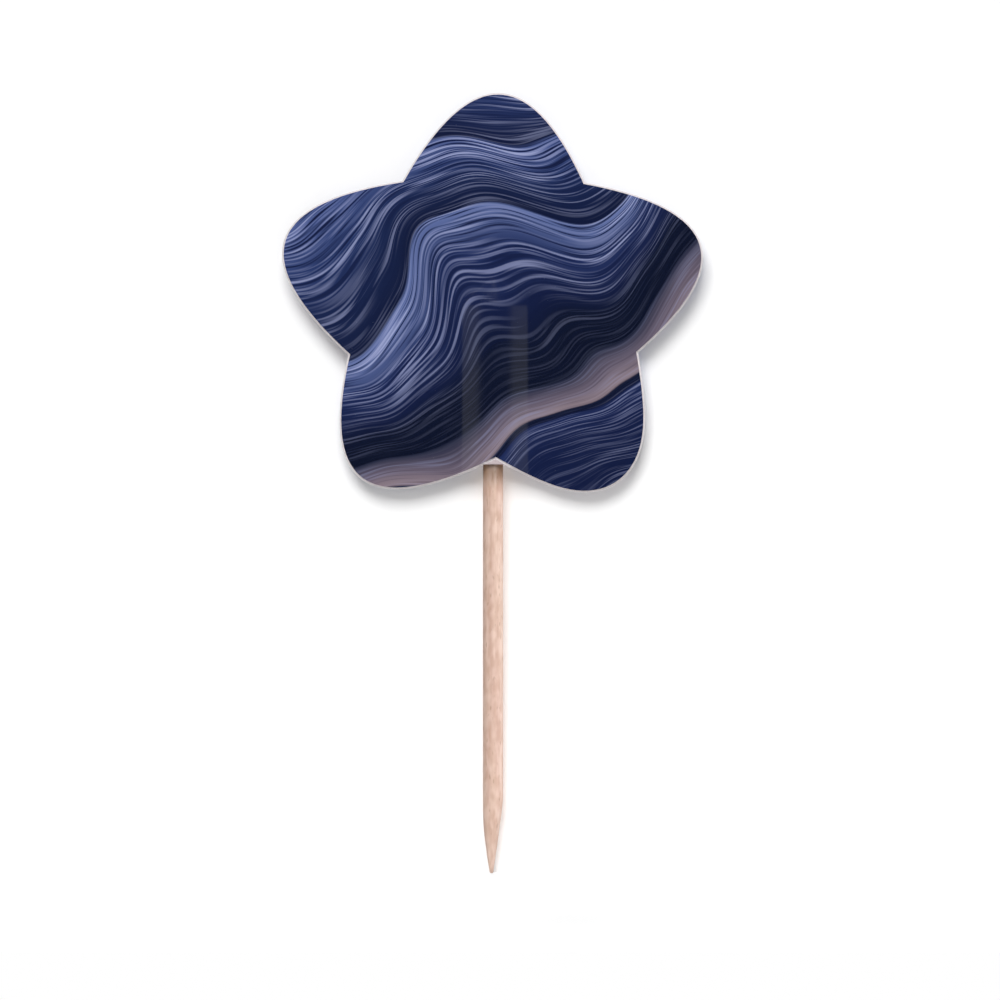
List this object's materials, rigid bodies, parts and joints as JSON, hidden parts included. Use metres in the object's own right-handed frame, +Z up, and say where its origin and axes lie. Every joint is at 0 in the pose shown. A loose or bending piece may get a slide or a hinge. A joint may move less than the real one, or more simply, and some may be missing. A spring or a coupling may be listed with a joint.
{
  "type": "cupcake pick",
  "caption": "Lobed printed card in two layers, glued round the top of a pointed wooden stick, to stand in a cupcake.",
  "frame": {"origin": "on the stick's axis, level with the top of the cake, 25 mm above the stick's point", "axes": "+Z up along the stick towards the card, -Y out of the card's front face, +X across the card"},
  "size_m": [0.0478, 0.0034, 0.0895],
  "materials": {
    "printed_paper": "satin",
    "white_card": "matte",
    "clear_film": "gloss",
    "dried_glue": "gloss",
    "birch_wood": "matte"
  },
  "bodies": {
    "root": {"front_label": "printed_paper", "front_card": "white_card", "adhesive_film": "clear_film", "glue_bead_right": "dried_glue", "glue_bead_left": "dried_glue", "back_card": "white_card", "back_label": "printed_paper", "wood_stick": "birch_wood"}
  },
  "joints": []
}
